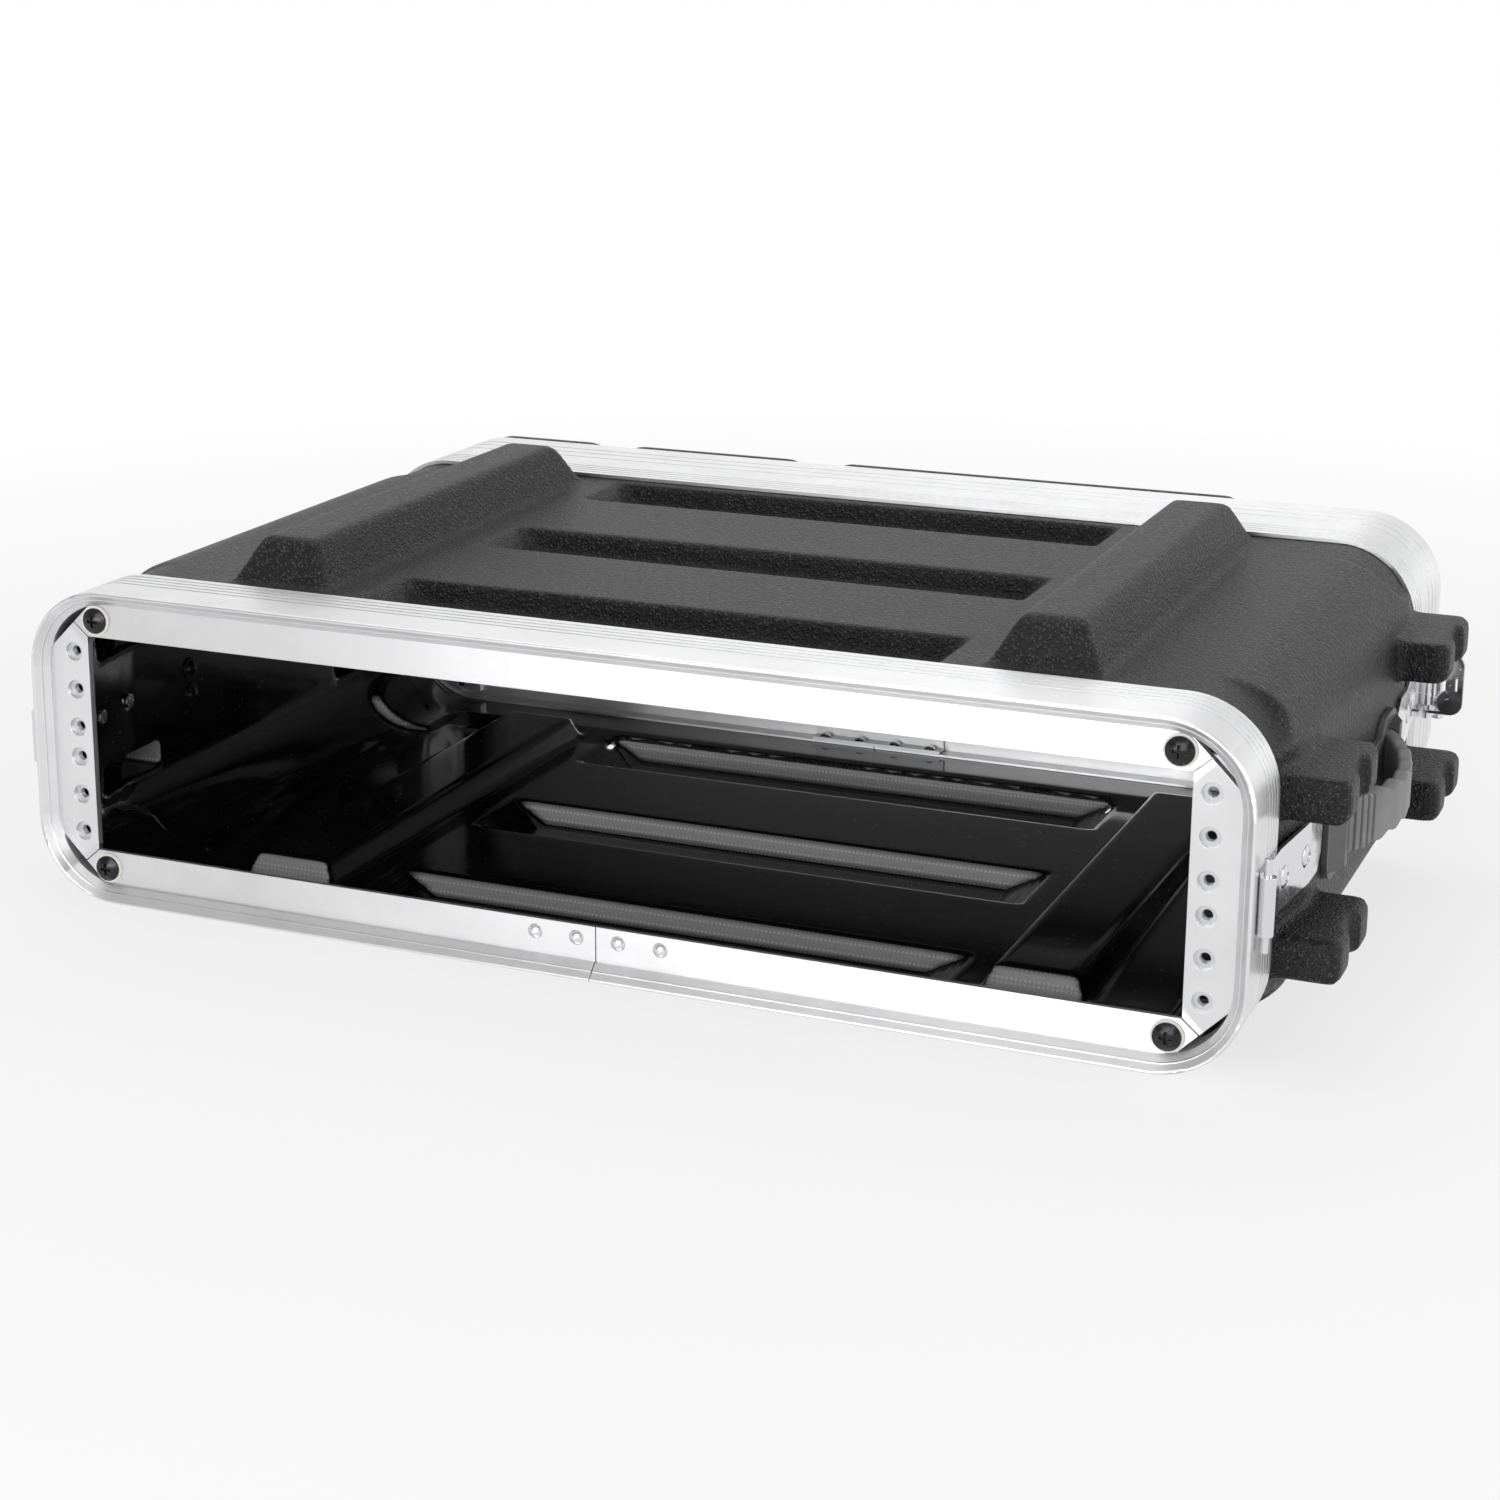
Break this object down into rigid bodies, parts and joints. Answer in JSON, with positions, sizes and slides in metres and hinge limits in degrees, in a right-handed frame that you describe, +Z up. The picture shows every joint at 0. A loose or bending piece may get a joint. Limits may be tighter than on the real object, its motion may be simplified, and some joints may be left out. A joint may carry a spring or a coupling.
{
  "type": "rack case",
  "caption": "Shallow moulded rack case with aluminium rack frames, tapped rails, side handles, keepers for lift-off lids and a latched rear lid.",
  "frame": {"origin": "bottom centre of the bounding box, on the plane of the floor ridges", "axes": "+Z up, +X to the right of somebody who faces the open front, the open front looks along -Y"},
  "size_m": [0.5472, 0.3898, 0.1565],
  "materials": {
    "shell_plastic": "pebbled black",
    "frame_aluminium": "satin extruded",
    "rail_aluminium": "satin",
    "rivet_aluminium": "satin",
    "black_steel": "black",
    "pale_washer": "smooth pale",
    "chromed_steel": "polished",
    "pin_steel": "bright",
    "spring_steel": "bright wire",
    "handle_plastic": "smooth dark grey",
    "grip_plastic": "smooth dark grey"
  },
  "bodies": {
    "case": {"body_shell": "shell_plastic", "front_frame": "frame_aluminium", "rear_frame": "frame_aluminium", "front_splice_plate": "rail_aluminium", "rear_splice_plate": "rail_aluminium", "front_splice_rivets": "rivet_aluminium", "rear_splice_rivets": "rivet_aluminium", "front_rail_left": "rail_aluminium", "front_rail_right": "rail_aluminium", "rear_rail_left": "rail_aluminium", "rear_rail_right": "rail_aluminium", "front_rail_screws": "black_steel", "front_rail_washers": "pale_washer", "rear_rail_screws": "black_steel", "rear_rail_washers": "pale_washer", "keeper_front_left": "chromed_steel", "keeper_front_right": "chromed_steel", "keeper_rear_left": "chromed_steel", "keeper_rear_right": "chromed_steel", "keeper_pins": "pin_steel", "keeper_rivets": "pin_steel", "handle_left_base": "handle_plastic", "handle_left_grip": "grip_plastic", "handle_right_base": "handle_plastic", "handle_right_grip": "grip_plastic", "handle_screws": "black_steel"},
    "rear_lid": {"lid_frame": "frame_aluminium", "lid_shell": "shell_plastic", "latch_base_left": "chromed_steel", "latch_base_right": "chromed_steel", "latch_pins": "pin_steel", "latch_springs": "spring_steel"},
    "latch_left": {"latch_lever_left": "chromed_steel"},
    "latch_right": {"latch_lever_right": "chromed_steel"}
  },
  "joints": [
    {"name": "rear_lid_lift", "type": "slide", "parent": "case", "child": "rear_lid", "axis": [0, 1, 0], "range_m": [0, 0.024]},
    {"name": "latch_right_pivot", "type": "hinge", "parent": "rear_lid", "child": "latch_right", "pos_m": [0.2558, 0.14044, 0.0748], "axis": [0, 0, 1], "range_deg": [0, 132]},
    {"name": "latch_left_pivot", "type": "hinge", "parent": "rear_lid", "child": "latch_left", "pos_m": [-0.2558, 0.14044, 0.0748], "axis": [0, 0, -1], "range_deg": [0, 132]}
  ],
  "couplings": [
    {"joint": "latch_right_pivot", "follows": "rear_lid_lift", "rad_per_m": 95},
    {"joint": "latch_left_pivot", "follows": "rear_lid_lift", "rad_per_m": 95}
  ]
}
